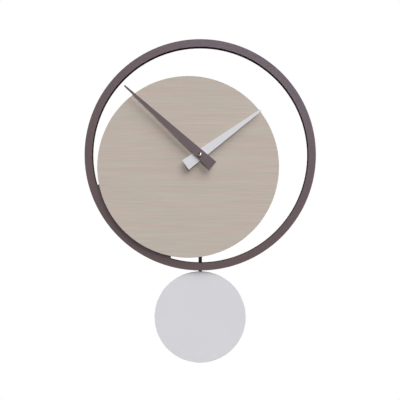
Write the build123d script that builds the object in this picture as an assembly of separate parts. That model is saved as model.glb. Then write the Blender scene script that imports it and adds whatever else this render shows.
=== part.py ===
from build123d import *
import math
import os

# Pendulum wall clock: a wooden dial disc set off-centre inside a wooden ring, two tapered hands, a quartz
# movement behind the dial and a disc pendulum. All dimensions are in millimetres.
#
# Row frame: +Z up, +X to the right of someone facing the clock, and the front faces -Y. The wall is y = 0,
# and the origin is the centre of the hanger's keyhole. Outlines are drawn parallel to the wall, with x to
# the right and z up from the hands' axis. Depths are distances from the wall towards the front.

# ------------------------------------------------------------------ driving dimensions
HANGER_OFFSET = -17.5          # keyhole to the left of the hands' axis, above the centre of mass
HANGER_HEIGHT = 42.0           # keyhole above the hands' axis

# Front of the clock
RING_RADIUS = 180.0
RING_INNER_RADIUS = 168.3
RING_BACK, RING_FRONT = 8.0, 26.0
TAB_INNER_RADIUS = 136.0
TAB_EDGE = -46.2               # the tab lies left of and below this line
WOOD_EDGE = 0.4                # rounding of the wooden front edges
DIAL_RADIUS = 140.9
DIAL_CENTRE = (-18.8, -18.9)
DIAL_BACK, DIAL_FRONT = 26.0, 31.0
DIAL_SCREW_CIRCLE = 152.0
DIAL_SCREW_ANGLES = (206.0, 219.0, 231.0, 244.0)
DIAL_SCREW_RADIUS = 1.5
DIAL_SCREW_HEAD_RADIUS = 3.2
DIAL_SCREW_HEAD = 1.7
DIAL_SCREW_TIP = 29.4

# Hands: lengths from the axis, full widths at the tail and at the tip, angle anticlockwise from 12
HAND_THICKNESS = 1.0
HAND_EDGE = 0.2
MINUTE_TIP, MINUTE_TAIL = 157.4, 26.0
MINUTE_TIP_WIDTH, MINUTE_TAIL_WIDTH = 2.4, 16.2
MINUTE_ANGLE = 47.8
MINUTE_HAND_BACK = 41.4
HOUR_TIP, HOUR_TAIL = 115.6, 28.3
HOUR_TIP_WIDTH, HOUR_TAIL_WIDTH = 3.6, 18.0
HOUR_ANGLE = -53.9
HOUR_HAND_BACK = 39.1
CAP_NUT_RADIUS = 3.0
CAP_NUT_CENTRE = 45.0
CAP_THREAD_RADIUS = 1.2
CAP_THREAD_FRONT = 45.2

# Fixing stack on the hands' axis
WASHER_RADIUS, WASHER_BACK, WASHER_FRONT = 10.0, 25.2, 26.0
BRASS_WASHER_RADIUS, BRASS_WASHER_FRONT = 7.0, 32.0
NUT_ACROSS_FLATS, NUT_FRONT = 12.0, 34.5
BUSHING_RADIUS, BUSHING_BORE, BUSHING_FRONT = 4.0, 2.56, 34.9
BUSHING_FLANGE_RADIUS, BUSHING_FLANGE_BACK = 6.5, 20.9
BUSHING_THREAD_DEPTH = 0.25
STACK_HOLE = 4.2

# Movement case
CASE_WIDTH = 64.0
CASE_TOP, CASE_BOTTOM = 30.0, -78.0
CASE_CORNER = 4.0
CASE_WALL = 2.0
CASE_BACK, CASE_FRONT = 2.0, 24.0
CAVITY_FRONT = CASE_FRONT - CASE_WALL
BAY_TOP, BAY_BOTTOM, BAY_FLOOR = -28.0, -46.0, 16.5
PARTITION = 1.5
POST_RADIUS, POST_X, POST_TOP, POST_BOTTOM = 2.4, 27.4, 25.4, -73.4
COVER_SCREW_RADIUS, COVER_SCREW_HEAD_RADIUS, COVER_SCREW_HEAD = 1.0, 1.9, 1.2
COVER_SCREW_TIP = 10.0
LEDGE_WIDTH, LEDGE_HEIGHT, LEDGE_TOP, LEDGE_BOTTOM = 3.0, 6.0, 12.0, -10.0
PLATE_BACK, PLATE_FRONT = 10.8, 11.8
SLOT_HALF_WIDTH, SLOT_FRONT = 9.0, 11.0
WINDOW_WIDTH, WINDOW_HEIGHT = 52.5, 15.5
KNOB_WELL_RADIUS, KNOB_WELL_WALL, KNOB_WELL_FRONT, KNOB_WELL_FLOOR = 6.8, 0.7, 4.9, 3.9
PIVOT_BEARING_RADIUS, PIVOT_BEARING_FRONT, PIVOT_BLIND = 1.6, 3.2, 1.2

# Hanger
HANGER_THICKNESS = 1.2
HANGER_HALF_WIDTH = 11.0
HANGER_TOP = 52.0
HANGER_GAP = 0.2               # between the hanger's bridge and the top of the case
HANGER_LEAF = (-29.0, 12.0, -14.0)   # left, right and bottom of the leaf in front of the case
KEYHOLE_RADIUS, KEYHOLE_SLOT, KEYHOLE_SLOT_RISE = 4.0, 3.6, 7.0

# Gears: teeth, module, back and front depths. Teeth are thinned for backlash.
PRESSURE_ANGLE = math.radians(20)
ADDENDUM, DEDENDUM, TOOTH_THINNING = 0.8, 1.2, 0.08
RUNNING_CLEARANCE = 0.06
MINUTE_PIPE_RADIUS, MINUTE_PIPE_BACK = 1.75, 12.0
HOUR_PIPE_RADIUS, HOUR_PIPE_FRONT = 2.5, 40.4
SECONDS_ARBOR_RADIUS, SECONDS_ARBOR_FRONT = 0.6, 14.0
MINUTE_WHEEL_POST = 0.8
ARBOR_RADIUS = 0.5
ROTOR_ARBOR_RADIUS = 0.4
SETTING_ARBOR_RADIUS = 1.0
ARBOR_BACK = 1.4
FRONT_PIVOT = 22.8
FRONT_BLIND = 23.0
KNOB_RADIUS, KNOB_BACK, KNOB_FRONT, KNOB_FLUTES = 6.3, 0.5, 3.4, 24
CLUTCH_RADIUS, CLUTCH_FRONT = 4.2, 14.55
COLLAR_RADIUS, COLLAR_BACK, COLLAR_FRONT = 2.6, 14.6, 15.9

# Stepping motor
MAGNET_RADIUS, MAGNET_BACK, MAGNET_FRONT = 2.0, 6.2, 8.0
STATOR_BORE, STATOR_RADIUS, STATOR_BACK, STATOR_FRONT = 2.4, 5.5, 6.6, 7.6
STATOR_LEFT, STATOR_RIGHT, STATOR_LEG, STATOR_TOP, STATOR_BOTTOM = 4.0, 28.5, 4.0, -11.0, -24.0
COIL_CENTRE_Z, COIL_RADIUS, CORE_BACK = -21.0, 3.5, 5.6
BOBBIN_TUBE_RADIUS, BOBBIN_FLANGE = 2.4, 0.8
CORE_HEIGHT = 3.0
BOARD_LEFT, BOARD_RIGHT, BOARD_BOTTOM, BOARD_TOP, BOARD_BACK, BOARD_FRONT = -29.0, 2.5, -25.5, -13.5, 8.0, 8.8

# Battery: an AA cell lying across the bay
CELL_RADIUS, CELL_LENGTH, CELL_DEPTH, CELL_Z = 7.25, 50.5, 8.9, -37.0
CELL_NUB_RADIUS, CELL_NUB = 2.75, 1.2
CONTACT_THICKNESS, CONTACT_HEIGHT, CONTACT_GAP = 0.5, 11.0, 0.3

# Pendulum and its drive
PIVOT_Z = -55.0
PIN_RADIUS, PIN_HEAD_RADIUS, PIN_BACK, PIN_SHANK_BACK, PIN_FRONT = 1.0, 2.0, 3.6, 4.4, 15.0
PIN_BOSS_RADIUS, PIN_BOSS_BACK = 3.0, 10.0
DRIVE_Z = -67.8
ARM_BACK, ARM_FRONT, ARM_HALF_WIDTH, ARM_BOTTOM = 5.5, 8.5, 3.5, -91.0
ARM_BOSS_BACK, ARM_BOSS_FRONT, ARM_BOSS_RADIUS = 4.6, 9.8, 3.5
PENDULUM_MAGNET_RADIUS, PENDULUM_MAGNET_FRONT, MAGNET_SEAT_RADIUS = 4.0, 11.0, 5.4
PEG_Z, PEG_RADIUS, PEG_HEAD_RADIUS, PEG_HEAD_BACK = -86.0, 1.5, 2.4, 3.0
DRIVE_COIL_RADIUS, DRIVE_COIL_BACK, DRIVE_COIL_FRONT = 7.0, 13.4, 17.4
DRIVE_FLANGE_RADIUS, DRIVE_FLANGE, DRIVE_TUBE_RADIUS = 7.4, 0.6, 2.6
ROD_BACK, ROD_FRONT, ROD_WIDTH, ROD_EYE_RADIUS, ROD_BOTTOM = 4.0, 5.5, 5.5, 4.6, -264.0
ROD_CRANK = 12.5               # how far the rod is bent forward behind the bob, below the ring
CRANK_TOP, CRANK_BOTTOM = -192.0, -218.0
BOB_RADIUS, BOB_BACK, BOB_FRONT, BOB_Z = 71.1, 18.0, 21.0, -253.0
BRACKET_WIDTH, BRACKET_HEIGHT, BRACKET_BACK, BRACKET_SCREW_X = 28.0, 14.0, 15.1, 9.0
BOB_SCREW_RADIUS, BOB_SCREW_HEAD_RADIUS, BOB_SCREW_HEAD, BOB_SCREW_TIP = 1.0, 1.9, 1.0, 20.2


# ------------------------------------------------------------------ shapes
def polar(radius, angle):
    """A point at an angle in degrees, anticlockwise from +x as seen from the front."""
    return (radius * math.cos(math.radians(angle)), radius * math.sin(math.radians(angle)))


def moved(start, radius, angle):
    """A point at a distance and an angle from another point."""
    dx, dz = polar(radius, angle)
    return (start[0] + dx, start[1] + dz)


def slab(outline, back, front):
    """An outline drawn parallel to the wall, filled between two depths."""
    return extrude(Plane.XZ.offset(back) * outline, amount=front - back)


def disc(radius, back, front, at=(0.0, 0.0)):
    """A round slab."""
    return slab(Pos(*at) * Circle(radius), back, front)


def block(left, right, bottom, top, back, front):
    """A rectangular slab."""
    centre = Pos((left + right) / 2, (bottom + top) / 2)
    return slab(centre * Rectangle(right - left, top - bottom), back, front)


def cone(back_radius, front_radius, back, front, at=(0.0, 0.0)):
    """A countersunk head or a tapered boss on an axis towards the front."""
    rings = [Plane.XZ.offset(back) * Pos(*at) * Circle(back_radius),
             Plane.XZ.offset(front) * Pos(*at) * Circle(front_radius)]
    return loft(rings)


def rounded_front(solid, depth, radius):
    """Round every edge that lies in one plane parallel to the wall."""
    edges = [e for e in solid.edges() if abs(e.center().Y + depth) < 1e-6
             and abs(e.bounding_box().size.Y) < 1e-6]
    return fillet(edges, radius)


def screw(at, radius, head_radius, back, head, tip):
    """A countersunk screw driven from the back, with a straight slot in its head."""
    body = cone(head_radius, radius, back, back + head, at) + disc(radius, back + head, tip, at)
    slot = block(at[0] - head_radius, at[0] + head_radius, at[1] - radius * 0.25, at[1] + radius * 0.25,
                 back, back + head * 0.45)
    return body - slot


def screw_hole(at, radius, head_radius, back, head, tip):
    """The countersunk hole that the screw fills."""
    return cone(head_radius, radius, back, back + head, at) + disc(radius, back + head, tip, at)


# ------------------------------------------------------------------ gears
def involute(angle):
    return math.tan(angle) - angle


def gear_outline(teeth, module, phase):
    """A spur gear with involute flanks; phase is the angle of one tooth, in radians."""
    pitch = module * teeth / 2
    base = pitch * math.cos(PRESSURE_ANGLE)
    root = pitch - DEDENDUM * module
    tip = pitch + ADDENDUM * module
    half_tooth = (math.pi * module / 2 - TOOTH_THINNING) / 2 / pitch + involute(PRESSURE_ANGLE)
    flank = []
    for radius in (root, max(base, root + 0.01), pitch, (pitch + tip) / 2, tip):
        roll = math.acos(min(1.0, base / radius))
        flank.append((radius, half_tooth - involute(roll)))
    points = []
    for tooth in range(teeth):
        centre = phase + 2 * math.pi * tooth / teeth
        points += [(r * math.cos(centre - a), r * math.sin(centre - a)) for r, a in flank]
        points += [(r * math.cos(centre + a), r * math.sin(centre + a)) for r, a in reversed(flank)]
    return Polygon(*points, align=None)


def gear(teeth, module, phase, back, front, at=(0.0, 0.0)):
    """A solid spur gear between two depths."""
    return slab(Pos(*at) * gear_outline(teeth, module, phase), back, front)


def mesh_phase(phase, teeth, mate_teeth, direction):
    """The phase of a mating gear that lies in a direction (degrees) from this one."""
    angle = math.radians(direction)
    return angle + math.pi - (phase - angle) * teeth / mate_teeth - math.pi / mate_teeth


def spokes(solid, count, inner, outer, width, back, front, at=(0.0, 0.0)):
    """Cut windows in a wheel so that it has an equal number of spokes."""
    ring = slab(Pos(*at) * (Circle(outer) - Circle(inner)), back, front)
    for index in range(count):
        bar = Pos(*at) * Rot(0, 0, index * 360 / count) * Pos(outer / 2, 0) * Rectangle(outer, width)
        ring -= slab(bar, back, front)
    return solid - ring


# Gear positions about the hands' axis, and the phases that keep every pair in mesh
MOTION_MODULE, HOUR_MODULE = 0.5, 0.48
CENTRE_MODULE, SECONDS_MODULE, ROTOR_MODULE = 0.4, 0.35, 0.3
MINUTE_DIRECTION, SETTING_DIRECTION = 150.0, 200.0
THIRD_DIRECTION, INTERMEDIATE_DIRECTION, ROTOR_DIRECTION = 60.0, -30.0, -15.0
CANNON_TEETH, MINUTE_TEETH, MINUTE_PINION_TEETH, HOUR_TEETH = 12, 36, 10, 40
CENTRE_TEETH, THIRD_PINION_TEETH, THIRD_TEETH, SECONDS_PINION_TEETH = 60, 8, 64, 8
SECONDS_TEETH, INTERMEDIATE_PINION_TEETH, INTERMEDIATE_TEETH, ROTOR_PINION_TEETH = 60, 10, 50, 10

MINUTE_DISTANCE = MOTION_MODULE * (CANNON_TEETH + MINUTE_TEETH) / 2
THIRD_DISTANCE = CENTRE_MODULE * (CENTRE_TEETH + THIRD_PINION_TEETH) / 2
THIRD_MODULE = 2 * THIRD_DISTANCE / (THIRD_TEETH + SECONDS_PINION_TEETH)
INTERMEDIATE_DISTANCE = SECONDS_MODULE * (SECONDS_TEETH + INTERMEDIATE_PINION_TEETH) / 2
ROTOR_DISTANCE = ROTOR_MODULE * (INTERMEDIATE_TEETH + ROTOR_PINION_TEETH) / 2

MINUTE_WHEEL_AT = polar(MINUTE_DISTANCE, MINUTE_DIRECTION)
SETTING_AT = moved(MINUTE_WHEEL_AT, MINUTE_DISTANCE, SETTING_DIRECTION)
THIRD_AT = polar(THIRD_DISTANCE, THIRD_DIRECTION)
INTERMEDIATE_AT = polar(INTERMEDIATE_DISTANCE, INTERMEDIATE_DIRECTION)
ROTOR_AT = moved(INTERMEDIATE_AT, ROTOR_DISTANCE, ROTOR_DIRECTION)

MINUTE_PHASE = mesh_phase(0.0, CANNON_TEETH, MINUTE_TEETH, MINUTE_DIRECTION)
HOUR_PHASE = mesh_phase(0.0, MINUTE_PINION_TEETH, HOUR_TEETH, MINUTE_DIRECTION + 180)
SETTING_PHASE = mesh_phase(MINUTE_PHASE, MINUTE_TEETH, CANNON_TEETH, SETTING_DIRECTION)
THIRD_PINION_PHASE = mesh_phase(0.0, CENTRE_TEETH, THIRD_PINION_TEETH, THIRD_DIRECTION)
SECONDS_PINION_PHASE = mesh_phase(0.0, THIRD_TEETH, SECONDS_PINION_TEETH, THIRD_DIRECTION + 180)
INTERMEDIATE_PINION_PHASE = mesh_phase(0.0, SECONDS_TEETH, INTERMEDIATE_PINION_TEETH, INTERMEDIATE_DIRECTION)
ROTOR_PINION_PHASE = mesh_phase(0.0, INTERMEDIATE_TEETH, ROTOR_PINION_TEETH, ROTOR_DIRECTION)


# ------------------------------------------------------------------ dial, ring and hands
def dial_screw_places():
    return [polar(DIAL_SCREW_CIRCLE, angle) for angle in DIAL_SCREW_ANGLES]


def ring_frame():
    """The ring with its tab, which lies behind the lower left of the dial."""
    ring = Circle(RING_RADIUS) - Circle(RING_INNER_RADIUS)
    corner = Pos(TAB_EDGE - RING_RADIUS / 2, TAB_EDGE - RING_RADIUS / 2) * Rectangle(RING_RADIUS, RING_RADIUS)
    tab = (Circle(RING_INNER_RADIUS + 1.0) & corner) - Circle(TAB_INNER_RADIUS)
    solid = slab(ring + tab, RING_BACK, RING_FRONT)
    for at in dial_screw_places():
        solid -= screw_hole(at, DIAL_SCREW_RADIUS, DIAL_SCREW_HEAD_RADIUS, RING_BACK, DIAL_SCREW_HEAD, RING_FRONT)
    return solid


def dial_disc():
    """The dial: a plain wooden disc with a hole for the bushing and blind holes for the screws."""
    solid = disc(DIAL_RADIUS, DIAL_BACK, DIAL_FRONT, DIAL_CENTRE)
    solid = rounded_front(solid, DIAL_FRONT, WOOD_EDGE)
    solid -= disc(STACK_HOLE, DIAL_BACK, DIAL_FRONT)
    for at in dial_screw_places():
        solid -= disc(DIAL_SCREW_RADIUS, DIAL_BACK, DIAL_SCREW_TIP, at)
    return solid


def dial_screws():
    solids = [screw(at, DIAL_SCREW_RADIUS, DIAL_SCREW_HEAD_RADIUS, RING_BACK, DIAL_SCREW_HEAD, DIAL_SCREW_TIP)
              for at in dial_screw_places()]
    return Compound(solids)


def hand(tip, tail, tip_width, tail_width, angle, back, hole):
    """A straight tapered hand with square ends."""
    outline = Polygon((-tail_width / 2, -tail), (tail_width / 2, -tail),
                      (tip_width / 2, tip), (-tip_width / 2, tip), align=None)
    solid = slab(Rot(0, 0, angle) * outline, back, back + HAND_THICKNESS)
    solid = rounded_front(solid, back + HAND_THICKNESS, HAND_EDGE)
    return solid - disc(hole, back, back + HAND_THICKNESS)


def minute_hand():
    return hand(MINUTE_TIP, MINUTE_TAIL, MINUTE_TIP_WIDTH, MINUTE_TAIL_WIDTH, MINUTE_ANGLE,
                MINUTE_HAND_BACK, MINUTE_PIPE_RADIUS)


def hour_hand():
    return hand(HOUR_TIP, HOUR_TAIL, HOUR_TIP_WIDTH, HOUR_TAIL_WIDTH, HOUR_ANGLE,
                HOUR_HAND_BACK, HOUR_PIPE_RADIUS)


def cap_nut():
    """The ball nut that holds the minute hand."""
    seat = MINUTE_HAND_BACK + HAND_THICKNESS
    ball = Pos(0, -CAP_NUT_CENTRE, 0) * Sphere(CAP_NUT_RADIUS)
    ball -= disc(CAP_NUT_RADIUS, seat - CAP_NUT_RADIUS, seat)
    ball -= disc(CAP_THREAD_RADIUS, seat, CAP_THREAD_FRONT)
    return ball


# ------------------------------------------------------------------ fixing stack and hanger
def threaded_bushing():
    """The brass bushing that clamps the movement to the dial and carries the hour pipe."""
    solid = disc(BUSHING_FLANGE_RADIUS, BUSHING_FLANGE_BACK, CAVITY_FRONT)
    solid += disc(BUSHING_RADIUS, CAVITY_FRONT, NUT_FRONT)
    solid += cone(BUSHING_RADIUS, BUSHING_RADIUS - BUSHING_THREAD_DEPTH, NUT_FRONT, BUSHING_FRONT)
    return solid - disc(BUSHING_BORE, BUSHING_FLANGE_BACK, BUSHING_FRONT)


def brass_washer():
    return slab(Circle(BRASS_WASHER_RADIUS) - Circle(STACK_HOLE), DIAL_FRONT, BRASS_WASHER_FRONT)


def hex_nut():
    hexagon = RegularPolygon(NUT_ACROSS_FLATS / 2, 6, major_radius=False)
    return slab(hexagon - Circle(BUSHING_RADIUS), BRASS_WASHER_FRONT, NUT_FRONT)


def rubber_washer():
    return slab(Circle(WASHER_RADIUS) - Circle(STACK_HOLE), WASHER_BACK, WASHER_FRONT)


def hanger_plate():
    """A bent steel plate: a leaf under the bushing, a bridge over the case and the keyhole tab."""
    left, right, bottom = HANGER_LEAF
    shelf = CASE_TOP + HANGER_GAP
    tab_left = HANGER_OFFSET - HANGER_HALF_WIDTH
    tab_right = HANGER_OFFSET + HANGER_HALF_WIDTH
    solid = block(left, right, bottom, shelf + HANGER_THICKNESS, CASE_FRONT, CASE_FRONT + HANGER_THICKNESS)
    solid -= disc(STACK_HOLE, CASE_FRONT, CASE_FRONT + HANGER_THICKNESS)
    solid += block(tab_left, tab_right, shelf, shelf + HANGER_THICKNESS, 0, CASE_FRONT + HANGER_THICKNESS)
    solid += block(tab_left, tab_right, shelf, HANGER_TOP, 0, HANGER_THICKNESS)
    keyhole = Pos(HANGER_OFFSET, HANGER_HEIGHT) * Circle(KEYHOLE_RADIUS)
    slot_centre = HANGER_HEIGHT + KEYHOLE_SLOT_RISE / 2
    keyhole += Pos(HANGER_OFFSET, slot_centre) * Rectangle(KEYHOLE_SLOT, KEYHOLE_SLOT_RISE)
    keyhole += Pos(HANGER_OFFSET, HANGER_HEIGHT + KEYHOLE_SLOT_RISE) * Circle(KEYHOLE_SLOT / 2)
    return solid - slab(keyhole, 0, HANGER_THICKNESS)


# ------------------------------------------------------------------ movement case
def case_outline(inset):
    """The case's rounded rectangle, moved in by a wall thickness."""
    height = CASE_TOP - CASE_BOTTOM
    centre = Pos(0, (CASE_TOP + CASE_BOTTOM) / 2)
    return centre * RectangleRounded(CASE_WIDTH - 2 * inset, height - 2 * inset, CASE_CORNER - inset)


def post_places():
    return [(x, z) for x in (-POST_X, POST_X) for z in (POST_TOP, POST_BOTTOM)]


def movement_case():
    """The moulded case, open at the back, with its posts, partitions, bay floor and bearings."""
    solid = slab(case_outline(0), CASE_BACK, CASE_FRONT)
    solid -= slab(case_outline(CASE_WALL), CASE_BACK, CAVITY_FRONT)
    inner = CASE_WIDTH / 2 - CASE_WALL
    solid += block(-inner, inner, BAY_TOP, BAY_TOP + PARTITION, CASE_BACK, CAVITY_FRONT)
    solid += block(-inner, inner, BAY_BOTTOM - PARTITION, BAY_BOTTOM, CASE_BACK, CAVITY_FRONT)
    solid += block(-inner, inner, BAY_BOTTOM, BAY_TOP, BAY_FLOOR, BAY_FLOOR + PARTITION)
    for at in post_places():
        solid += disc(POST_RADIUS, CASE_BACK, CAVITY_FRONT, at)
        solid -= disc(COVER_SCREW_RADIUS, CASE_BACK, COVER_SCREW_TIP, at)
    for side in (-1, 1):
        for z in (LEDGE_TOP, LEDGE_BOTTOM):
            near, far = sorted((side * inner, side * (inner - LEDGE_WIDTH)))
            solid += block(near, far, z - LEDGE_HEIGHT / 2, z + LEDGE_HEIGHT / 2, PLATE_FRONT, CAVITY_FRONT)
    solid += disc(MINUTE_WHEEL_POST, MINUTE_WHEEL_BACK - 0.4, CAVITY_FRONT, MINUTE_WHEEL_AT)
    solid += disc(PIN_BOSS_RADIUS, PIN_BOSS_BACK, CAVITY_FRONT, (0, PIVOT_Z))
    solid -= disc(PIN_RADIUS, PIN_BOSS_BACK, PIN_FRONT, (0, PIVOT_Z))
    solid += disc(DRIVE_TUBE_RADIUS, DRIVE_COIL_FRONT + DRIVE_FLANGE, CAVITY_FRONT, (0, DRIVE_Z))
    solid -= disc(ARBOR_RADIUS + RUNNING_CLEARANCE, CAVITY_FRONT, FRONT_BLIND, THIRD_AT)
    solid -= disc(SETTING_ARBOR_RADIUS + RUNNING_CLEARANCE, CAVITY_FRONT, FRONT_BLIND, SETTING_AT)
    solid -= disc(BUSHING_RADIUS, CAVITY_FRONT, CASE_FRONT)
    return solid - block(-SLOT_HALF_WIDTH, SLOT_HALF_WIDTH, CASE_BOTTOM, CASE_BOTTOM + CASE_WALL,
                         CASE_BACK, SLOT_FRONT)


def rear_cover():
    """The back of the case: battery window, knob well, screw holes and the rear pivot bearings."""
    solid = slab(case_outline(0), 0, CASE_BACK)
    window = Pos(0, CELL_Z) * RectangleRounded(WINDOW_WIDTH, WINDOW_HEIGHT, 1.0)
    solid -= slab(window, 0, CASE_BACK)
    solid += disc(KNOB_WELL_RADIUS + KNOB_WELL_WALL, CASE_BACK, KNOB_WELL_FRONT, SETTING_AT)
    solid -= disc(KNOB_WELL_RADIUS, 0, KNOB_WELL_FLOOR, SETTING_AT)
    solid -= disc(SETTING_ARBOR_RADIUS + RUNNING_CLEARANCE, KNOB_WELL_FLOOR, KNOB_WELL_FRONT, SETTING_AT)
    bearings = [((0, 0), SECONDS_ARBOR_RADIUS), (THIRD_AT, ARBOR_RADIUS),
                (INTERMEDIATE_AT, ARBOR_RADIUS), (ROTOR_AT, ROTOR_ARBOR_RADIUS)]
    for at, radius in bearings:
        solid += disc(PIVOT_BEARING_RADIUS, CASE_BACK, PIVOT_BEARING_FRONT, at)
        solid -= disc(radius + RUNNING_CLEARANCE, PIVOT_BLIND, PIVOT_BEARING_FRONT, at)
    for at in post_places():
        solid -= screw_hole(at, COVER_SCREW_RADIUS, COVER_SCREW_HEAD_RADIUS, 0, COVER_SCREW_HEAD, CASE_BACK)
    return solid


def cover_screws():
    solids = [screw(at, COVER_SCREW_RADIUS, COVER_SCREW_HEAD_RADIUS, 0, COVER_SCREW_HEAD, COVER_SCREW_TIP)
              for at in post_places()]
    return Compound(solids)


def mid_plate():
    """The plate between the going train and the motion work."""
    inner = CASE_WIDTH / 2 - CASE_WALL - 0.3
    solid = block(-inner, inner, BAY_TOP + PARTITION + 0.3, CASE_TOP - CASE_WALL - 0.3, PLATE_BACK, PLATE_FRONT)
    for x in (-POST_X, POST_X):
        corner = math.copysign(inner, x)
        left, right = sorted((x - math.copysign(POST_RADIUS + 0.6, x), corner + math.copysign(1, x)))
        solid -= block(left, right, POST_TOP - POST_RADIUS - 0.6, CASE_TOP, PLATE_BACK, PLATE_FRONT)
    third_hole = CENTRE_MODULE * (THIRD_PINION_TEETH / 2 + ADDENDUM) + 0.3
    holes = [((0, 0), SECONDS_ARBOR_RADIUS + RUNNING_CLEARANCE), (THIRD_AT, third_hole),
             (INTERMEDIATE_AT, ARBOR_RADIUS + RUNNING_CLEARANCE),
             (ROTOR_AT, ROTOR_ARBOR_RADIUS + RUNNING_CLEARANCE),
             (SETTING_AT, SETTING_ARBOR_RADIUS + RUNNING_CLEARANCE)]
    for at, radius in holes:
        solid -= disc(radius, PLATE_BACK, PLATE_FRONT, at)
    return solid


# ------------------------------------------------------------------ motion work and going train
MINUTE_WHEEL_BACK, MINUTE_WHEEL_FRONT, MINUTE_PINION_FRONT = 16.2, 17.4, 20.2
CANNON_BACK, CANNON_FRONT = 15.9, 17.8
HOUR_WHEEL_BACK, HOUR_WHEEL_FRONT = 18.6, 19.8
CENTRE_BACK, CENTRE_FRONT = 12.4, 13.4
THIRD_PINION_BACK, THIRD_PINION_FRONT, THIRD_BACK, THIRD_FRONT = 12.1, 13.8, 9.0, 10.0
SECONDS_BACK, SECONDS_FRONT, SECONDS_PINION_BACK, SECONDS_PINION_FRONT = 6.6, 7.4, 8.6, 10.4
INTERMEDIATE_BACK, INTERMEDIATE_FRONT = 4.6, 5.4
INTERMEDIATE_PINION_BACK, INTERMEDIATE_PINION_FRONT = 6.2, 7.8
ROTOR_PINION_BACK, ROTOR_PINION_FRONT = 4.2, 5.8
SETTING_PINION_BACK, SETTING_PINION_FRONT = 15.9, 17.7


def minute_pipe():
    """The minute arbor with its cannon pinion, collar and the threaded end for the cap nut."""
    solid = disc(MINUTE_PIPE_RADIUS, MINUTE_PIPE_BACK, MINUTE_HAND_BACK + HAND_THICKNESS)
    solid += disc(COLLAR_RADIUS - 0.3, COLLAR_BACK, COLLAR_FRONT)
    solid += gear(CANNON_TEETH, MOTION_MODULE, 0.0, CANNON_BACK, CANNON_FRONT)
    solid += disc(CAP_THREAD_RADIUS, MINUTE_HAND_BACK, CAP_THREAD_FRONT)
    bore = SECONDS_ARBOR_RADIUS + RUNNING_CLEARANCE
    return solid - disc(bore, MINUTE_PIPE_BACK, SECONDS_ARBOR_FRONT + 0.5)


def hour_wheel():
    """The hour wheel and its pipe, which turns in the bushing and around the minute pipe."""
    solid = gear(HOUR_TEETH, HOUR_MODULE, HOUR_PHASE, HOUR_WHEEL_BACK, HOUR_WHEEL_FRONT)
    solid += disc(HOUR_PIPE_RADIUS, HOUR_WHEEL_FRONT, HOUR_PIPE_FRONT)
    solid = spokes(solid, 4, 4.0, 7.6, 1.4, HOUR_WHEEL_BACK, HOUR_WHEEL_FRONT)
    return solid - disc(MINUTE_PIPE_RADIUS + RUNNING_CLEARANCE, HOUR_WHEEL_BACK, HOUR_PIPE_FRONT)


def minute_wheel():
    """The minute wheel and pinion, which turn on a post of the case."""
    solid = gear(MINUTE_TEETH, MOTION_MODULE, MINUTE_PHASE, MINUTE_WHEEL_BACK, MINUTE_WHEEL_FRONT, MINUTE_WHEEL_AT)
    solid += gear(MINUTE_PINION_TEETH, HOUR_MODULE, 0.0, MINUTE_WHEEL_FRONT, MINUTE_PINION_FRONT, MINUTE_WHEEL_AT)
    solid = spokes(solid, 4, 3.2, 7.0, 1.4, MINUTE_WHEEL_BACK, MINUTE_WHEEL_FRONT, MINUTE_WHEEL_AT)
    return solid - disc(MINUTE_WHEEL_POST + RUNNING_CLEARANCE, MINUTE_WHEEL_BACK, MINUTE_PINION_FRONT,
                        MINUTE_WHEEL_AT)


def setting_arbor():
    """The arbor that the knob turns, with the pinion that drives the minute wheel."""
    solid = disc(SETTING_ARBOR_RADIUS, KNOB_BACK + 0.8, FRONT_PIVOT, SETTING_AT)
    return solid + gear(CANNON_TEETH, MOTION_MODULE, SETTING_PHASE, SETTING_PINION_BACK, SETTING_PINION_FRONT,
                        SETTING_AT)


def setting_knob():
    """The fluted setting knob in its well at the back."""
    outline = Circle(KNOB_RADIUS)
    for index in range(KNOB_FLUTES):
        outline -= Pos(*polar(KNOB_RADIUS, index * 360 / KNOB_FLUTES)) * Circle(0.35)
    solid = slab(Pos(*SETTING_AT) * outline, KNOB_BACK, KNOB_FRONT)
    return solid - disc(SETTING_ARBOR_RADIUS, KNOB_BACK + 0.8, KNOB_FRONT, SETTING_AT)


def centre_wheel():
    """The centre wheel, which turns the minute pipe through the clutch spring."""
    solid = gear(CENTRE_TEETH, CENTRE_MODULE, 0.0, CENTRE_BACK, CENTRE_FRONT)
    solid = spokes(solid, 5, 4.6, 10.2, 1.4, CENTRE_BACK, CENTRE_FRONT)
    return solid - disc(MINUTE_PIPE_RADIUS + RUNNING_CLEARANCE, CENTRE_BACK, CENTRE_FRONT)


def clutch_spring():
    """A dished friction washer pressed on the centre wheel."""
    solid = disc(CLUTCH_RADIUS, CENTRE_FRONT, CENTRE_FRONT + 0.35)
    solid += cone(CLUTCH_RADIUS - 0.4, COLLAR_RADIUS, CENTRE_FRONT + 0.35, CLUTCH_FRONT)
    solid -= disc(MINUTE_PIPE_RADIUS + 0.15, CENTRE_FRONT, CLUTCH_FRONT)
    return solid


def third_wheel():
    """The third wheel and pinion on their arbor."""
    solid = disc(ARBOR_RADIUS, ARBOR_BACK, FRONT_PIVOT, THIRD_AT)
    solid += disc(1.1, THIRD_BACK - 0.8, THIRD_PINION_BACK, THIRD_AT)
    solid += gear(THIRD_TEETH, THIRD_MODULE, 0.0, THIRD_BACK, THIRD_FRONT, THIRD_AT)
    solid = spokes(solid, 4, 2.4, 10.4, 1.4, THIRD_BACK, THIRD_FRONT, THIRD_AT)
    return solid + gear(THIRD_PINION_TEETH, CENTRE_MODULE, THIRD_PINION_PHASE,
                        THIRD_PINION_BACK, THIRD_PINION_FRONT, THIRD_AT)


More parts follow.
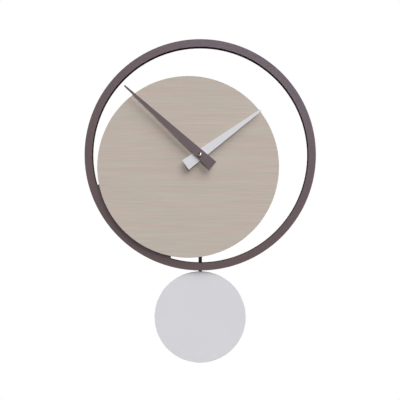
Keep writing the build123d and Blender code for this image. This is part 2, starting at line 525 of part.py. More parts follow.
def seconds_wheel():
    """The seconds wheel, pressed on its arbor."""
    solid = gear(SECONDS_TEETH, SECONDS_MODULE, 0.0, SECONDS_BACK, SECONDS_FRONT)
    solid = spokes(solid, 4, 2.2, 9.0, 1.4, SECONDS_BACK, SECONDS_FRONT)
    return solid - disc(SECONDS_ARBOR_RADIUS, SECONDS_BACK, SECONDS_FRONT)


def seconds_arbor():
    """The seconds arbor with its pinion; its front end turns inside the minute pipe."""
    solid = disc(SECONDS_ARBOR_RADIUS, ARBOR_BACK, SECONDS_ARBOR_FRONT)
    return solid + gear(SECONDS_PINION_TEETH, THIRD_MODULE, SECONDS_PINION_PHASE,
                        SECONDS_PINION_BACK, SECONDS_PINION_FRONT)


def intermediate_wheel():
    """The intermediate wheel and pinion on their arbor."""
    solid = disc(ARBOR_RADIUS, ARBOR_BACK, PLATE_FRONT, INTERMEDIATE_AT)
    solid += disc(1.0, INTERMEDIATE_FRONT, INTERMEDIATE_PINION_BACK, INTERMEDIATE_AT)
    solid += gear(INTERMEDIATE_TEETH, ROTOR_MODULE, 0.0, INTERMEDIATE_BACK, INTERMEDIATE_FRONT, INTERMEDIATE_AT)
    return solid + gear(INTERMEDIATE_PINION_TEETH, SECONDS_MODULE, INTERMEDIATE_PINION_PHASE,
                        INTERMEDIATE_PINION_BACK, INTERMEDIATE_PINION_FRONT, INTERMEDIATE_AT)


def rotor_pinion():
    """The rotor's arbor and pinion."""
    solid = disc(ROTOR_ARBOR_RADIUS, ARBOR_BACK, PLATE_FRONT, ROTOR_AT)
    return solid + gear(ROTOR_PINION_TEETH, ROTOR_MODULE, ROTOR_PINION_PHASE,
                        ROTOR_PINION_BACK, ROTOR_PINION_FRONT, ROTOR_AT)


def rotor_magnet():
    """The two-pole magnet on the rotor."""
    solid = disc(MAGNET_RADIUS, MAGNET_BACK, MAGNET_FRONT, ROTOR_AT)
    return solid - disc(ROTOR_ARBOR_RADIUS, MAGNET_BACK, MAGNET_FRONT, ROTOR_AT)


# ------------------------------------------------------------------ motor and electronics
def motor_stator():
    """The stator lamination: a bored pole plate with two legs."""
    outline = Pos(*ROTOR_AT) * Circle(STATOR_RADIUS)
    outline += Pos((STATOR_LEFT + STATOR_RIGHT) / 2, STATOR_TOP - STATOR_LEG / 2) * Rectangle(
        STATOR_RIGHT - STATOR_LEFT, STATOR_LEG)
    for x in (STATOR_LEFT + STATOR_LEG / 2, STATOR_RIGHT - STATOR_LEG / 2):
        outline += Pos(x, (STATOR_TOP + STATOR_BOTTOM) / 2) * Rectangle(STATOR_LEG, STATOR_TOP - STATOR_BOTTOM)
    outline -= Pos(*ROTOR_AT) * Circle(STATOR_BORE)
    return slab(outline, STATOR_BACK, STATOR_FRONT)


def motor_core():
    """The flat core through the winding, seated on the stator's legs."""
    return block(STATOR_LEFT, STATOR_RIGHT, COIL_CENTRE_Z - CORE_HEIGHT / 2, COIL_CENTRE_Z + CORE_HEIGHT / 2,
                 CORE_BACK, STATOR_BACK)


def along_x(radius, left, right):
    """A round bar along the motor's core."""
    depth = (CORE_BACK + STATOR_BACK) / 2
    return extrude(Plane.YZ.offset(left) * Pos(-depth, COIL_CENTRE_Z) * Circle(radius), amount=right - left)


def coil_bobbin():
    """The bobbin around the core, with a flange at each end."""
    left = STATOR_LEFT + STATOR_LEG + 0.4
    right = STATOR_RIGHT - STATOR_LEG - 0.4
    solid = along_x(BOBBIN_TUBE_RADIUS, left, right)
    solid += along_x(COIL_RADIUS, left, left + BOBBIN_FLANGE)
    solid += along_x(COIL_RADIUS, right - BOBBIN_FLANGE, right)
    return solid - motor_core()


def motor_coil():
    """The motor's winding."""
    left = STATOR_LEFT + STATOR_LEG + 0.4 + BOBBIN_FLANGE
    right = STATOR_RIGHT - STATOR_LEG - 0.4 - BOBBIN_FLANGE
    return along_x(COIL_RADIUS - 0.2, left, right) - along_x(BOBBIN_TUBE_RADIUS, left, right)


def circuit_board():
    return block(BOARD_LEFT, BOARD_RIGHT, BOARD_BOTTOM, BOARD_TOP, BOARD_BACK, BOARD_FRONT)


def quartz_crystal():
    """The cylindrical crystal can on the board."""
    can = Pos(-22.0, -(BOARD_BACK - 1.0), -19.5) * Rot(0, 90, 0) * Cylinder(1.0, 6.0)
    return can


def chip_blob():
    """The domed resin over the bare chip."""
    dome = Pos(-10.0, -BOARD_BACK, -19.5) * Sphere(3.0)
    dome &= block(-14.0, -6.0, -24.0, -15.0, BOARD_BACK - 1.5, BOARD_BACK)
    return dome


# ------------------------------------------------------------------ battery
def battery():
    """An AA cell with its raised terminal at the right."""
    half = CELL_LENGTH / 2
    body = extrude(Plane.YZ.offset(-half) * Pos(-CELL_DEPTH, CELL_Z) * Circle(CELL_RADIUS),
                   amount=CELL_LENGTH - CELL_NUB)
    body = fillet(body.edges().filter_by(GeomType.CIRCLE), 0.5)
    nub = extrude(Plane.YZ.offset(half - CELL_NUB) * Pos(-CELL_DEPTH, CELL_Z) * Circle(CELL_NUB_RADIUS),
                  amount=CELL_NUB)
    return body + nub


def contact_plate(side):
    """A nickel contact plate on one end wall of the bay, with a pad towards the cell."""
    inner = CASE_WIDTH / 2 - CASE_WALL
    near, far = sorted((side * inner, side * (inner - CONTACT_THICKNESS)))
    solid = block(near, far, CELL_Z - CONTACT_HEIGHT / 2, CELL_Z + CONTACT_HEIGHT / 2, CASE_BACK + 1.0, BAY_FLOOR)
    near, far = sorted((side * (inner - CONTACT_THICKNESS), side * (CELL_LENGTH / 2 + CONTACT_GAP)))
    return solid, near, far


def battery_contact_positive():
    """The flat contact at the cell's raised terminal: a plate with a pressed square pad."""
    solid, near, far = contact_plate(1)
    return solid + block(near, far, CELL_Z - 3.0, CELL_Z + 3.0, CELL_DEPTH - 3.0, CELL_DEPTH + 3.0)


def battery_contact_negative():
    """The sprung contact at the cell's flat end: a plate with a tapered coil, as its outer shape."""
    solid, near, far = contact_plate(-1)
    wide = Plane.YZ.offset(near) * Pos(-CELL_DEPTH, CELL_Z) * Circle(4.2)
    narrow = Plane.YZ.offset(far) * Pos(-CELL_DEPTH, CELL_Z) * Circle(2.6)
    return solid + loft([wide, narrow])


# ------------------------------------------------------------------ pendulum and its drive
def pivot_pin():
    """The headed pin that the pendulum swings on."""
    return disc(PIN_HEAD_RADIUS, PIN_BACK, PIN_SHANK_BACK, (0, PIVOT_Z)) + disc(
        PIN_RADIUS, PIN_SHANK_BACK, PIN_FRONT, (0, PIVOT_Z))


def pendulum_bobbin():
    """The bobbin of the pendulum's drive coil, on its post in the case."""
    at = (0, DRIVE_Z)
    solid = disc(DRIVE_FLANGE_RADIUS, DRIVE_COIL_BACK - DRIVE_FLANGE, DRIVE_COIL_BACK, at)
    solid += disc(DRIVE_TUBE_RADIUS, DRIVE_COIL_BACK, DRIVE_COIL_FRONT, at)
    return solid + disc(DRIVE_FLANGE_RADIUS, DRIVE_COIL_FRONT, DRIVE_COIL_FRONT + DRIVE_FLANGE, at)


def pendulum_coil():
    """The drive coil's winding."""
    winding = Circle(DRIVE_COIL_RADIUS) - Circle(DRIVE_TUBE_RADIUS)
    return slab(Pos(0, DRIVE_Z) * winding, DRIVE_COIL_BACK, DRIVE_COIL_FRONT)


def pendulum_hanger():
    """The swinging arm: pivot boss, magnet seat and the headed peg that carries the rod."""
    outline = Pos(0, (PIVOT_Z + ARM_BOTTOM) / 2) * Rectangle(2 * ARM_HALF_WIDTH, PIVOT_Z - ARM_BOTTOM)
    outline += Pos(0, PIVOT_Z) * Circle(ARM_BOSS_RADIUS)
    outline += Pos(0, DRIVE_Z) * Circle(MAGNET_SEAT_RADIUS)
    solid = slab(outline, ARM_BACK, ARM_FRONT)
    solid += disc(ARM_BOSS_RADIUS, ARM_BOSS_BACK, ARM_BOSS_FRONT, (0, PIVOT_Z))
    solid -= disc(PIN_RADIUS + RUNNING_CLEARANCE, ARM_BOSS_BACK, ARM_BOSS_FRONT, (0, PIVOT_Z))
    rim = Circle(MAGNET_SEAT_RADIUS) - Circle(PENDULUM_MAGNET_RADIUS)
    solid += slab(Pos(0, DRIVE_Z) * rim, ARM_FRONT, ARM_FRONT + 1.2)
    solid += disc(PEG_RADIUS, PEG_HEAD_BACK, ARM_BACK, (0, PEG_Z))
    return solid + disc(PEG_HEAD_RADIUS, PEG_HEAD_BACK, ROD_BACK, (0, PEG_Z))


def pendulum_magnet():
    return disc(PENDULUM_MAGNET_RADIUS, ARM_FRONT, PENDULUM_MAGNET_FRONT, (0, DRIVE_Z))


def pendulum_rod():
    """The flat rod: an eye on the hanger's peg, then below the ring a crank forward to the bob."""
    thickness = ROD_FRONT - ROD_BACK
    bend = math.atan(ROD_CRANK / (CRANK_TOP - CRANK_BOTTOM))
    rise = thickness * math.tan(bend / 2)
    back = [(ROD_BACK, PEG_Z), (ROD_BACK, CRANK_TOP), (ROD_BACK + ROD_CRANK, CRANK_BOTTOM),
            (ROD_BACK + ROD_CRANK, ROD_BOTTOM)]
    front = [(ROD_FRONT, PEG_Z), (ROD_FRONT, CRANK_TOP + rise), (ROD_FRONT + ROD_CRANK, CRANK_BOTTOM + rise),
             (ROD_FRONT + ROD_CRANK, ROD_BOTTOM)]
    profile = Polygon(*[(-depth, z) for depth, z in front + back[::-1]], align=None)
    solid = extrude(Plane.YZ.offset(-ROD_WIDTH / 2) * profile, amount=ROD_WIDTH)
    solid += disc(ROD_EYE_RADIUS, ROD_BACK, ROD_FRONT, (0, PEG_Z))
    return solid - disc(PEG_RADIUS, ROD_BACK, ROD_FRONT, (0, PEG_Z))


def bob_screw_places():
    return [(x, BOB_Z) for x in (-BRACKET_SCREW_X, BRACKET_SCREW_X)]


def pendulum_bob():
    """The bob: a plain wooden disc."""
    solid = disc(BOB_RADIUS, BOB_BACK, BOB_FRONT, (0, BOB_Z))
    solid = rounded_front(solid, BOB_FRONT, WOOD_EDGE)
    for at in bob_screw_places():
        solid -= disc(BOB_SCREW_RADIUS, BOB_BACK, BOB_SCREW_TIP, at)
    return solid


def bob_bracket():
    """The channel that clamps the rod to the back of the bob."""
    outline = Pos(0, BOB_Z) * RectangleRounded(BRACKET_WIDTH, BRACKET_HEIGHT, 3.0)
    solid = slab(outline, BRACKET_BACK, BOB_BACK)
    solid -= block(-ROD_WIDTH / 2, ROD_WIDTH / 2, BOB_Z - BRACKET_HEIGHT, BOB_Z + BRACKET_HEIGHT,
                   ROD_BACK + ROD_CRANK, ROD_FRONT + ROD_CRANK)
    for at in bob_screw_places():
        solid -= screw_hole(at, BOB_SCREW_RADIUS, BOB_SCREW_HEAD_RADIUS, BRACKET_BACK, BOB_SCREW_HEAD, BOB_BACK)
    return solid


def bob_screws():
    solids = [screw(at, BOB_SCREW_RADIUS, BOB_SCREW_HEAD_RADIUS, BRACKET_BACK, BOB_SCREW_HEAD, BOB_SCREW_TIP)
              for at in bob_screw_places()]
    return Compound(solids)


# ------------------------------------------------------------------ export
SUB_PARTS = (
    ring_frame, dial_disc, dial_screws, movement_case, rear_cover, cover_screws, hanger_plate,
    rubber_washer, threaded_bushing, brass_washer, hex_nut, mid_plate, circuit_board, quartz_crystal,
    chip_blob, motor_stator, motor_core, coil_bobbin, motor_coil, battery_contact_positive,
    battery_contact_negative, pendulum_bobbin, pendulum_coil, pivot_pin, battery, minute_pipe,
    minute_hand, cap_nut, hour_wheel, hour_hand, minute_wheel, setting_arbor, setting_knob,
    centre_wheel, clutch_spring, third_wheel, seconds_wheel, seconds_arbor, intermediate_wheel,
    rotor_pinion, rotor_magnet, pendulum_hanger, pendulum_magnet, pendulum_rod, pendulum_bob,
    bob_bracket, bob_screws,
)

os.makedirs("parts", exist_ok=True)
for sub_part in SUB_PARTS:
    placed = Pos(-HANGER_OFFSET, 0, -HANGER_HEIGHT) * sub_part()
    export_step(placed, os.path.join("parts", sub_part.__name__ + ".step"))
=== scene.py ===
import math

import bmesh
import bpy
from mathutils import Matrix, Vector


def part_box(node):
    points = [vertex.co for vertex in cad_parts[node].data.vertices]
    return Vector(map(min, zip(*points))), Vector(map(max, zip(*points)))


# Pendulum wall clock: materials, small details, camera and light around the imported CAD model.
# Everything is in metres in the row's frame: +Z up, +X to the viewer's right, the front faces -Y.

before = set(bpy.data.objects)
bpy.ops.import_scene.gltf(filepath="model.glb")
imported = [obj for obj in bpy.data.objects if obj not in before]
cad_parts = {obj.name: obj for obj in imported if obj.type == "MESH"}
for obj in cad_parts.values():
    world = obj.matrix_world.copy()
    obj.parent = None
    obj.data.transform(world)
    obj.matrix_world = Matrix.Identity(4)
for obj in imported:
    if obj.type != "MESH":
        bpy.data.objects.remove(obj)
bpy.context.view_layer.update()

# ------------------------------------------------------------------ places read from the frame
RING_LOW, RING_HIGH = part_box("ring_frame")
AXIS_X = (RING_LOW[0] + RING_HIGH[0]) / 2
AXIS_Z = (RING_LOW[2] + RING_HIGH[2]) / 2
RING_FRONT = RING_LOW[1]
BATTERY_LOW, BATTERY_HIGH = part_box("battery")

# ------------------------------------------------------------------ camera and light settings
CAMERA_DISTANCE = 1.400
CAMERA_DROP = 0.0703
CAMERA_LEFT = 0.0004
CAMERA_LENS = 81.0
CAMERA_SENSOR = 36.0
CAMERA_CLIP = (0.05, 50.0)
FLOOR_DROP = 1.25
FLOOR_SIZE = 5.0
FLOOR_CELLS = 4
BASE_LIGHT = 0.02

# Soft lights as round bright patches of the surround: a softbox at the upper right, a small lamp over the
# camera and the pale wall behind. Each has the direction from the clock to its middle, the angles from there
# where it is full and where it ends, and its strength.
LIGHT_PATCHES = (
    ((0.373, -0.559, 0.741), math.radians(22.1), math.radians(25.7), 6.09),
    ((0.048, -0.990, 0.132), math.radians(1.8), math.radians(6.4), 62.9),
    ((0.0, 1.0, 0.0), math.radians(50), math.radians(88), 0.55),
)

# ------------------------------------------------------------------ shares and sizes on the materials
# How far a face's normal points to the front or back, from fully a side face to fully a front face.
SIDE_FACE = 0.35
FRONT_FACE = 0.85
LACQUER_TINT = (0.66, 0.70, 1.0, 1.0)
CELL_BAND_START = 0.72
CELL_CAP = 0.0014
CELL_FOOT = 0.0006
PLUS_INSET = 0.0075
MINUS_INSET = 0.0060
SIGN_HALF_LENGTH = 0.0019
SIGN_HALF_WIDTH = 0.00045


def linear(red, green, blue):
    """A display colour (0-255) as the linear values that shaders use."""
    values = []
    for channel in (red, green, blue):
        share = channel / 255
        values.append(share / 12.92 if share <= 0.04045 else ((share + 0.055) / 1.055) ** 2.4)
    return (*values, 1.0)


# ------------------------------------------------------------------ node helpers
class Shader:
    """A new material with its Principled node, and short calls to add and link nodes."""

    def __init__(self, name):
        self.material = bpy.data.materials.new(name)
        self.material.use_nodes = True
        self.nodes = self.material.node_tree.nodes
        self.links = self.material.node_tree.links
        self.bsdf = self.nodes["Principled BSDF"]
        coordinates = self.nodes.new("ShaderNodeTexCoord")
        self.place = coordinates.outputs["Object"]

    def set(self, **values):
        for key, value in values.items():
            self.bsdf.inputs[key.replace("_", " ")].default_value = value

    def feed(self, socket, value):
        """Put a number, a colour or another node's output on a socket."""
        if isinstance(value, bpy.types.NodeSocket):
            self.links.new(value, socket)
        else:
            socket.default_value = value

    def math(self, operation, first, second=0.0, clamp=False):
        node = self.nodes.new("ShaderNodeMath")
        node.operation = operation
        node.use_clamp = clamp
        self.feed(node.inputs[0], first)
        self.feed(node.inputs[1], second)
        return node.outputs[0]

    def mapped(self, scale, offset=(0.0, 0.0, 0.0)):
        """Object coordinates, stretched and shifted."""
        node = self.nodes.new("ShaderNodeMapping")
        node.inputs["Scale"].default_value = scale
        node.inputs["Location"].default_value = offset
        self.links.new(self.place, node.inputs["Vector"])
        return node.outputs[0]

    def noise(self, scale, detail=3.0, rough=0.5, vector=None, distortion=0.0):
        node = self.nodes.new("ShaderNodeTexNoise")
        node.inputs["Scale"].default_value = scale
        node.inputs["Detail"].default_value = detail
        node.inputs["Roughness"].default_value = rough
        node.inputs["Distortion"].default_value = distortion
        self.links.new(vector or self.place, node.inputs["Vector"])
        return node.outputs["Fac"]

    def ramp(self, factor, *stops):
        """A smooth change of colour: each stop is (position, colour)."""
        node = self.nodes.new("ShaderNodeValToRGB")
        elements = node.color_ramp.elements
        while len(elements) < len(stops):
            elements.new(0.5)
        for element, (position, colour) in zip(elements, stops):
            element.position = position
            element.color = colour
        self.feed(node.inputs[0], factor)
        return node.outputs["Color"]

    def mix(self, factor, first, second):
        node = self.nodes.new("ShaderNodeMix")
        node.data_type = "RGBA"
        colour_inputs = [socket for socket in node.inputs if socket.type == "RGBA"]
        self.feed(node.inputs["Factor"], factor)
        self.feed(colour_inputs[0], first)
        self.feed(colour_inputs[1], second)
        return next(socket for socket in node.outputs if socket.type == "RGBA")

    def range(self, value, low, high, to_low=0.0, to_high=1.0):
        node = self.nodes.new("ShaderNodeMapRange")
        self.feed(node.inputs["Value"], value)
        node.inputs["From Min"].default_value = low
        node.inputs["From Max"].default_value = high
        node.inputs["To Min"].default_value = to_low
        node.inputs["To Max"].default_value = to_high
        return node.outputs["Result"]

    def bump(self, height, distance, strength):
        node = self.nodes.new("ShaderNodeBump")
        node.inputs["Strength"].default_value = strength
        node.inputs["Distance"].default_value = distance
        self.feed(node.inputs["Height"], height)
        self.links.new(node.outputs["Normal"], self.bsdf.inputs["Normal"])

    def axis(self, letter):
        """One object coordinate."""
        node = self.nodes.new("ShaderNodeSeparateXYZ")
        self.links.new(self.place, node.inputs[0])
        return node.outputs[letter]

    def side(self):
        """1 on faces that look sideways, 0 on faces that look to the front or the back."""
        geometry = self.nodes.new("ShaderNodeNewGeometry")
        split = self.nodes.new("ShaderNodeSeparateXYZ")
        self.links.new(geometry.outputs["Normal"], split.inputs[0])
        facing = self.math("ABSOLUTE", split.outputs["Y"])
        return self.range(facing, SIDE_FACE, FRONT_FACE, 1.0, 0.0)

    def colour(self, value):
        self.feed(self.bsdf.inputs["Base Color"], value)

    def roughness(self, value):
        self.feed(self.bsdf.inputs["Roughness"], value)


def dress(material, *names):
    """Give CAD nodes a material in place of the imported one."""
    for name in names:
        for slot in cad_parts[name].material_slots:
            slot.link = "OBJECT"
            slot.material = material


# ------------------------------------------------------------------ lacquered board
def lacquer(name, colours, edge_colours, rough, specular):
    """Sprayed lacquer on board: faint orange peel and slow mottling, with bare cut edges that don't shine."""
    shader = Shader(name)
    slow = shader.noise(14.0, 4.0, 0.6)
    fine = shader.noise(900.0, 3.0, 0.6)
    cloud = shader.math("ADD", shader.math("MULTIPLY", slow, 0.6), shader.math("MULTIPLY", fine, 0.4))
    face = shader.ramp(cloud, (0.3, linear(*colours[0])), (0.7, linear(*colours[1])))
    scorch = shader.noise(1.0, 4.0, 0.7, shader.mapped((260.0, 900.0, 260.0)))
    burnt = shader.ramp(scorch, (0.3, linear(*edge_colours[0])), (0.7, linear(*edge_colours[1])))
    cut = shader.side()
    shader.colour(shader.mix(cut, face, burnt))
    level = shader.range(cut, 0.0, 1.0, specular, 0.0)
    shader.feed(shader.bsdf.inputs["Specular IOR Level"], level)
    shader.set(Specular_Tint=LACQUER_TINT)
    shader.roughness(shader.range(shader.noise(350.0, 3.0, 0.6), 0.3, 0.7, rough - 0.04, rough + 0.04))
    shader.bump(shader.math("ADD", fine, shader.math("MULTIPLY", slow, 0.2)), 0.0002, 0.3)
    return shader.material


def bleached_oak():
    """Pale oak laminate with straight fine grain across the dial, in turn pinkish and grey."""
    shader = Shader("bleached_oak")
    fine = shader.noise(1.0, 3.0, 0.6, shader.mapped((17.0, 60.0, 900.0)))
    broad = shader.noise(1.0, 3.0, 0.55, shader.mapped((7.0, 40.0, 260.0), (3.1, 0.0, 1.7)))
    tint = shader.noise(1.0, 3.0, 0.6, shader.mapped((10.0, 60.0, 520.0), (7.0, 0.0, 4.0)))
    pores = shader.noise(1.0, 2.0, 0.5, shader.mapped((60.0, 400.0, 2600.0), (0.0, 2.0, 9.0)))
    grain = shader.math("ADD", shader.math("MULTIPLY", broad, 0.35), shader.math("MULTIPLY", fine, 0.65))
    wood = shader.ramp(grain, (0.32, linear(176, 166, 156)), (0.50, linear(187, 178, 168)),
                       (0.68, linear(199, 190, 181)))
    pink = shader.mix(shader.range(tint, 0.44, 0.60, 0.0, 0.75), wood, linear(192, 173, 164))
    grey = shader.mix(shader.range(tint, 0.50, 0.38, 0.0, 0.60), pink, linear(180, 178, 168))
    pore = shader.range(pores, 0.66, 0.76, 0.0, 0.35)
    spotted = shader.mix(pore, grey, linear(164, 148, 137))
    scorch = shader.noise(1.0, 3.0, 0.6, shader.mapped((500.0, 1500.0, 500.0)))
    burnt = shader.ramp(scorch, (0.3, linear(34, 24, 18)), (0.7, linear(62, 44, 32)))
    shader.colour(shader.mix(shader.side(), spotted, burnt))
    shader.set(Specular_IOR_Level=0.08)
    shader.roughness(shader.range(fine, 0.3, 0.7, 0.85, 0.75))
    shader.bump(shader.math("SUBTRACT", fine, shader.math("MULTIPLY", pore, 1.5)), 0.0002, 0.3)
    return shader.material


# ------------------------------------------------------------------ metals
def plated(name, colour, dull, rough, stretch=(1.0, 1.0, 1.0)):
    """Plated or drawn metal with fine marks along it and a little tarnish."""
    shader = Shader(name)
    shader.set(Metallic=1.0)
    marks = shader.noise(900.0, 3.0, 0.6, shader.mapped(stretch))
    tarnish = shader.noise(160.0, 4.0, 0.6)
    shader.colour(shader.ramp(tarnish, (0.35, dull), (0.65, colour)))
    shader.roughness(shader.range(marks, 0.3, 0.7, rough * 0.75, rough * 1.35))
    shader.bump(marks, 0.00004, 0.25)
    return shader.material


def painted_rod():
    """Satin black paint on flat steel, with a fine grain along it."""
    shader = Shader("rod_paint")
    grain = shader.noise(1.0, 3.0, 0.6, shader.mapped((1800.0, 1800.0, 60.0)))
    shader.colour(shader.ramp(grain, (0.3, linear(32, 26, 23)), (0.7, linear(43, 36, 32))))
    shader.set(Specular_IOR_Level=0.2)
    shader.roughness(shader.range(grain, 0.3, 0.7, 0.55, 0.7))
    shader.bump(shader.noise(1600.0, 2.0, 0.5), 0.00005, 0.3)
    return shader.material


# ------------------------------------------------------------------ plastics and small parts
def moulded(name, colour, light, rough=0.5, texture=1500.0, depth=0.00012):
    """Moulded plastic with a spark-eroded texture and slight flow marks."""
    shader = Shader(name)
    flow = shader.noise(60.0, 3.0, 0.5, distortion=0.6)
    grain = shader.noise(texture, 2.0, 0.6)
    shader.colour(shader.mix(shader.range(flow, 0.3, 0.7), colour, light))
    shader.roughness(shader.range(grain, 0.3, 0.7, rough - 0.06, rough + 0.1))
    shader.bump(grain, depth, 0.5)
    return shader.material


def enamelled_wire(name, stretch):
    """Close turns of enamelled copper wire, seen as fine ridges across the winding."""
    shader = Shader(name)
    shader.set(Metallic=0.7)
    turns = shader.nodes.new("ShaderNodeTexWave")
    turns.inputs["Scale"].default_value = 1.0
    turns.inputs["Distortion"].default_value = 0.6
    shader.links.new(shader.mapped(stretch), turns.inputs["Vector"])
    dark, bright = linear(92, 40, 20), linear(196, 104, 62)
    shader.colour(shader.ramp(turns.outputs["Fac"], (0.1, dark), (0.8, bright)))
    shader.roughness(shader.range(shader.noise(500.0), 0.3, 0.7, 0.25, 0.4))
    shader.bump(turns.outputs["Fac"], 0.00006, 0.6)
    return shader.material


def cell_wrap():
    """A plain cell: dark sleeve, copper band at the raised end and bare steel at the terminals."""
    shader = Shader("cell_wrap")
    left, right = BATTERY_LOW[0], BATTERY_HIGH[0]
    length = right - left
    along = shader.range(shader.axis("X"), left, right)
    band = shader.math("GREATER_THAN", along, CELL_BAND_START)
    cap = shader.math("GREATER_THAN", along, (length - CELL_CAP) / length)
    foot = shader.math("LESS_THAN", along, CELL_FOOT / length)
    metal = shader.math("ADD", cap, foot, clamp=True)
    scuffs = shader.noise(220.0, 4.0, 0.65)
    sleeve = shader.ramp(scuffs, (0.3, linear(30, 31, 34)), (0.75, linear(46, 47, 52)))
    copper = shader.ramp(scuffs, (0.3, linear(150, 92, 48)), (0.75, linear(186, 120, 66)))
    plain = shader.mix(band, sleeve, copper)
    signs = polarity_signs(shader)
    printed = shader.mix(signs, plain, linear(225, 222, 214))
    shader.colour(shader.mix(metal, printed, linear(190, 188, 182)))
    shine = shader.math("MAXIMUM", metal, shader.math("MULTIPLY", band, 0.6))
    shader.feed(shader.bsdf.inputs["Metallic"], shine)
    shader.roughness(shader.range(scuffs, 0.3, 0.7, 0.22, 0.36))
    shader.bump(scuffs, 0.00005, 0.2)
    return shader.material


def bar_mask(shader, horizontal, vertical, centre, half):
    """1 inside a small upright rectangle of the sleeve, seen from the back."""
    inside = []
    for place, middle, reach in zip((horizontal, vertical), centre, half):
        away = shader.math("ABSOLUTE", shader.math("SUBTRACT", place, middle))
        inside.append(shader.math("LESS_THAN", away, reach))
    return shader.math("MULTIPLY", *inside)


def polarity_signs(shader):
    """A plus at the raised end and a minus at the flat end, on the side that shows in the window."""
    horizontal, vertical = shader.axis("X"), shader.axis("Z")
    middle = (BATTERY_LOW[2] + BATTERY_HIGH[2]) / 2
    plus = (BATTERY_HIGH[0] - PLUS_INSET, middle)
    minus = (BATTERY_LOW[0] + MINUS_INSET, middle)
    lying = (SIGN_HALF_LENGTH, SIGN_HALF_WIDTH)
    upright = (SIGN_HALF_WIDTH, SIGN_HALF_LENGTH)
    bars = ((plus, lying), (plus, upright), (minus, lying))
    marks = [bar_mask(shader, horizontal, vertical, centre, half) for centre, half in bars]
    outer = shader.math("GREATER_THAN", shader.axis("Y"), (BATTERY_LOW[1] + BATTERY_HIGH[1]) / 2)
    both = shader.math("MAXIMUM", marks[0], shader.math("MAXIMUM", marks[1], marks[2]))
    return shader.math("MULTIPLY", both, outer)


# ------------------------------------------------------------------ dress the CAD nodes
# Each lacquer: its node, two face colours, two edge colours, roughness and specular level.
LACQUERS = {
    "ring_lacquer": ("ring_frame", ((94, 78, 76), (99, 83, 81)),
                     ((66, 52, 43), (84, 67, 56)), 0.30, 0.11),
    "minute_lacquer": ("minute_hand", ((101, 88, 90), (105, 92, 94)),
                       ((112, 78, 50), (168, 128, 88)), 0.32, 0.05),
    "hour_lacquer": ("hour_hand", ((210, 210, 214), (214, 214, 218)),
                     ((128, 92, 60), (186, 150, 108)), 0.5, 0.05),
    "bob_lacquer": ("pendulum_bob", ((210, 209, 214), (213, 212, 217)),
                    ((176, 172, 172), (196, 193, 194)), 0.5, 0.05),
}
for lacquer_name, (node_name, *look) in LACQUERS.items():
    dress(lacquer(lacquer_name, *look), node_name)
dress(bleached_oak(), "dial_disc")
dress(painted_rod(), "pendulum_rod")
dress(plated("polished_nickel", linear(228, 224, 214), linear(200, 194, 176), 0.12), "cap_nut")
dress(plated("lathe_brass", linear(212, 176, 104), linear(176, 138, 76), 0.28, (1.0, 8.0, 1.0)),
      "threaded_bushing", "brass_washer", "hex_nut", "minute_pipe")
dress(plated("zinc_plate", linear(196, 198, 200), linear(168, 170, 172), 0.34, (1.0, 1.0, 0.06)),
      "hanger_plate", "dial_screws", "cover_screws", "bob_screws")
dress(plated("ground_steel", linear(190, 190, 188), linear(150, 150, 148), 0.26, (0.1, 6.0, 0.1)),
      "pivot_pin", "seconds_arbor", "clutch_spring")
dress(plated("contact_nickel", linear(206, 202, 192), linear(182, 176, 164), 0.24),
      "battery_contact_positive", "battery_contact_negative", "quartz_crystal")
dress(plated("soft_iron", linear(150, 148, 144), linear(118, 114, 110), 0.42), "motor_stator", "motor_core")
dress(moulded("case_black", linear(32, 32, 34), linear(40, 40, 42), 0.5),
      "movement_case", "rear_cover", "pendulum_hanger", "bob_bracket")
dress(moulded("knob_black", linear(44, 44, 47), linear(54, 54, 57), 0.42, 2200.0, 0.00006), "setting_knob")
dress(moulded("washer_rubber", linear(34, 33, 33), linear(42, 41, 41), 0.78, 900.0), "rubber_washer")
dress(moulded("plate_grey", linear(148, 148, 150), linear(160, 160, 162), 0.45), "mid_plate")
dress(moulded("board_green", linear(44, 92, 52), linear(58, 112, 64), 0.35, 2600.0, 0.00003), "circuit_board")
dress(moulded("potting_resin", linear(22, 22, 24), linear(30, 30, 32), 0.22, 500.0, 0.00005), "chip_blob")
dress(moulded("nylon", linear(222, 216, 200), linear(230, 226, 212), 0.4), "coil_bobbin", "pendulum_bobbin")
dress(moulded("acetal", linear(228, 226, 218), linear(236, 234, 228), 0.35, 1800.0, 0.00004),
      "hour_wheel", "minute_wheel", "setting_arbor", "centre_wheel", "third_wheel", "seconds_wheel",
      "intermediate_wheel", "rotor_pinion")
dress(moulded("ferrite", linear(58, 58, 62), linear(70, 70, 74), 0.5, 1300.0),
      "rotor_magnet", "pendulum_magnet")
dress(enamelled_wire("motor_winding", (4000.0, 0.0, 0.0)), "motor_coil")
dress(enamelled_wire("drive_winding", (0.0, 4000.0, 0.0)), "pendulum_coil")
dress(cell_wrap(), "battery")


# ------------------------------------------------------------------ camera, light and floor
def add_camera():
    data = bpy.data.cameras.new("camera")
    data.sensor_width = CAMERA_SENSOR
    data.lens = CAMERA_LENS
    data.clip_start, data.clip_end = CAMERA_CLIP
    camera = bpy.data.objects.new("camera", data)
    camera.location = (AXIS_X - CAMERA_LEFT, RING_FRONT - CAMERA_DISTANCE, AXIS_Z - CAMERA_DROP)
    camera.rotation_euler = (math.radians(90), 0, 0)
    bpy.context.collection.objects.link(camera)
    bpy.context.scene.camera = camera


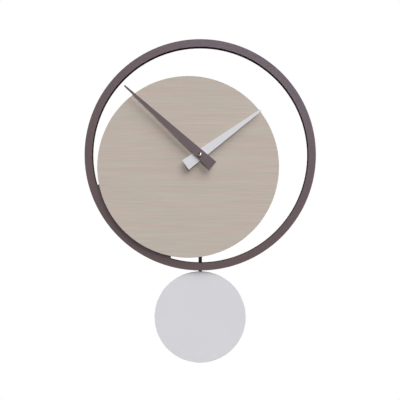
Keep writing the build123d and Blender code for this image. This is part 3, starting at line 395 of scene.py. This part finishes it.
def add_patch(nodes, links, ray, patch):
    """The strength that one bright patch of the surround adds in the direction of a ray."""
    direction, full, end, strength = patch
    toward = nodes.new("ShaderNodeVectorMath")
    toward.operation = "DOT_PRODUCT"
    toward.inputs[1].default_value = Vector(direction).normalized()
    links.new(ray, toward.inputs[0])
    edge = nodes.new("ShaderNodeMapRange")
    edge.interpolation_type = "SMOOTHSTEP"
    edge.inputs["From Min"].default_value = math.cos(end)
    edge.inputs["From Max"].default_value = math.cos(full)
    edge.inputs["To Max"].default_value = strength
    links.new(toward.outputs["Value"], edge.inputs["Value"])
    return edge.outputs["Result"]


def add_world():
    """A surround that is white to the camera and lights the clock with its soft patches."""
    world = bpy.data.worlds.new("surround")
    bpy.context.scene.world = world
    world.use_nodes = True
    nodes, links = world.node_tree.nodes, world.node_tree.links
    ray = nodes.new("ShaderNodeTexCoord").outputs["Generated"]
    total = None
    for patch in LIGHT_PATCHES:
        adding = nodes.new("ShaderNodeMath")
        adding.operation = "ADD"
        adding.inputs[0].default_value = BASE_LIGHT
        if total:
            links.new(total, adding.inputs[0])
        links.new(add_patch(nodes, links, ray, patch), adding.inputs[1])
        total = adding.outputs[0]
    white = nodes.new("ShaderNodeMix")
    white.inputs["B"].default_value = 1.0
    links.new(nodes.new("ShaderNodeLightPath").outputs["Is Camera Ray"], white.inputs["Factor"])
    links.new(total, white.inputs["A"])
    background = nodes["Background"]
    background.inputs["Color"].default_value = (1.0, 1.0, 1.0, 1.0)
    links.new(white.outputs["Result"], background.inputs["Strength"])


def add_floor():
    """A plain pale floor, well below the clock as it is under a wall, too far to throw light up on it."""
    grid = bmesh.new()
    bmesh.ops.create_grid(grid, x_segments=FLOOR_CELLS, y_segments=FLOOR_CELLS, size=FLOOR_SIZE / 2)
    mesh = bpy.data.meshes.new("floor")
    grid.to_mesh(mesh)
    grid.free()
    floor = bpy.data.objects.new("floor", mesh)
    floor.location = (AXIS_X, RING_FRONT, AXIS_Z - FLOOR_DROP)
    bpy.context.collection.objects.link(floor)
    shader = Shader("floor_paint")
    darker, lighter = (0.82, 0.82, 0.81, 1.0), (0.86, 0.86, 0.85, 1.0)
    shader.colour(shader.ramp(shader.noise(3.0), (0.3, darker), (0.7, lighter)))
    shader.set(Roughness=0.8)
    mesh.materials.append(shader.material)
    floor.visible_diffuse = False


add_camera()
add_world()
add_floor()
bpy.context.scene.view_settings.view_transform = "Standard"
